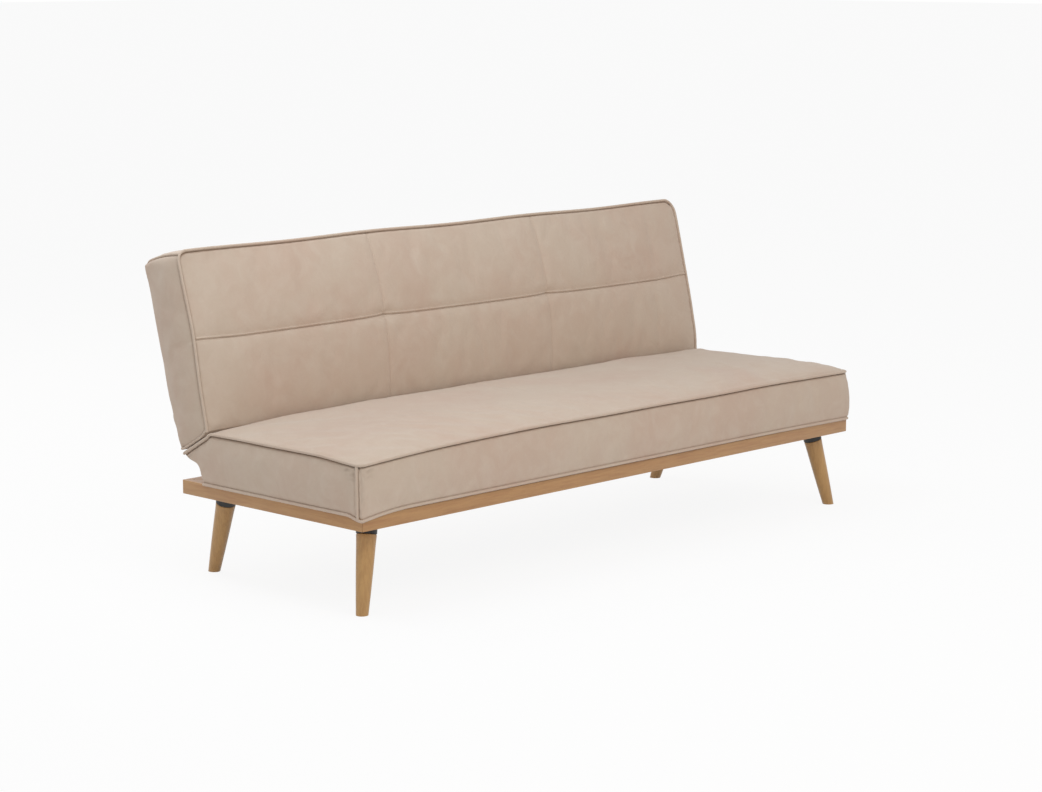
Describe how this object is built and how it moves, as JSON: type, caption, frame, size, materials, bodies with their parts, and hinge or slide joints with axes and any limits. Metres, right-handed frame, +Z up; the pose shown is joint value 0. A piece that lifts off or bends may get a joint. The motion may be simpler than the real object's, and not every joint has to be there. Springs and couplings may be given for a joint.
{
  "type": "click clack sofa bed",
  "caption": "Armless click clack sofa bed: piped fabric seat and folding back cushion on a low wooden frame with splayed turned legs.",
  "frame": {"origin": "on the floor, under the middle of the whole sofa with its back upright", "axes": "+X along the seat towards the sitter's left, +Y towards the back, +Z up; the sitter faces -Y"},
  "size_m": [1.832, 0.7756, 0.7977],
  "materials": {
    "cushion_fabric": "soft brushed velour, matt",
    "piping_fabric": "soft brushed velour, matt",
    "foam": "open cell foam",
    "frame_wood": "satin lacquered beech",
    "leg_wood": "satin lacquered beech, turned",
    "inner_wood": "raw sawn pine",
    "collar_plastic": "matt black",
    "dust_sheet": "black non-woven sheet",
    "webbing": "elastic webbing",
    "hinge_steel": "zinc plated steel",
    "spring_steel": "oiled spring steel"
  },
  "bodies": {
    "base": {"front_rail": "frame_wood", "rear_rail": "frame_wood", "left_end_rail": "frame_wood", "right_end_rail": "frame_wood", "cross_bearer_left": "frame_wood", "cross_bearer_right": "frame_wood", "leg_front_left": "leg_wood", "leg_front_right": "leg_wood", "leg_rear_left": "leg_wood", "leg_rear_right": "leg_wood", "leg_collar_front_left": "collar_plastic", "leg_collar_front_right": "collar_plastic", "leg_collar_rear_left": "collar_plastic", "leg_collar_rear_right": "collar_plastic", "leg_bolt_front_left": "hinge_steel", "leg_bolt_front_right": "hinge_steel", "leg_bolt_rear_left": "hinge_steel", "leg_bolt_rear_right": "hinge_steel", "seat_frame_front": "inner_wood", "seat_frame_rear": "inner_wood", "seat_frame_left": "inner_wood", "seat_frame_right": "inner_wood", "zigzag_spring_1": "spring_steel", "zigzag_spring_2": "spring_steel", "zigzag_spring_3": "spring_steel", "zigzag_spring_4": "spring_steel", "seat_foam": "foam", "seat_cover": "cushion_fabric", "seat_dust_sheet": "dust_sheet", "seat_piping_top": "piping_fabric", "seat_piping_foot": "piping_fabric", "seat_piping_corner_left": "piping_fabric", "seat_piping_corner_right": "piping_fabric", "hinge_bracket_left": "hinge_steel", "hinge_bracket_right": "hinge_steel", "pivot_rivet_left": "hinge_steel", "pivot_rivet_right": "hinge_steel", "bracket_screw_left_front": "hinge_steel", "bracket_screw_left_rear": "hinge_steel", "bracket_screw_right_front": "hinge_steel", "bracket_screw_right_rear": "hinge_steel"},
    "backrest": {"hinge_arm_left": "hinge_steel", "hinge_arm_right": "hinge_steel", "pawl_pin_left": "hinge_steel", "pawl_pin_right": "hinge_steel", "pawl_leaf_spring_left": "spring_steel", "pawl_leaf_spring_right": "spring_steel", "back_stile_left": "inner_wood", "back_stile_right": "inner_wood", "back_rail_foot": "inner_wood", "back_rail_head": "inner_wood", "back_strap_lower": "webbing", "back_strap_upper": "webbing", "back_foam": "foam", "back_cover": "cushion_fabric", "back_piping_front": "piping_fabric", "back_piping_top_left": "piping_fabric", "back_piping_top_right": "piping_fabric"},
    "pawl_left_body": {"pawl_left": "spring_steel"},
    "pawl_right_body": {"pawl_right": "spring_steel"}
  },
  "joints": [
    {"name": "back_fold", "type": "hinge", "parent": "base", "child": "backrest", "pos_m": [0, 0.21962, 0.286], "axis": [-1, 0, 0], "range_deg": [-5, 78.8]},
    {"name": "pawl_left_swing", "type": "hinge", "parent": "backrest", "child": "pawl_left_body", "pos_m": [-0.7785, 0.23551, 0.3183], "axis": [1, 0, 0], "range_deg": [0, 8], "stiffness_Nm_per_rad": 0.05, "springref_deg": 8.02},
    {"name": "pawl_right_swing", "type": "hinge", "parent": "backrest", "child": "pawl_right_body", "pos_m": [0.7785, 0.23551, 0.3183], "axis": [1, 0, 0], "range_deg": [0, 8], "stiffness_Nm_per_rad": 0.05, "springref_deg": 8.02}
  ]
}
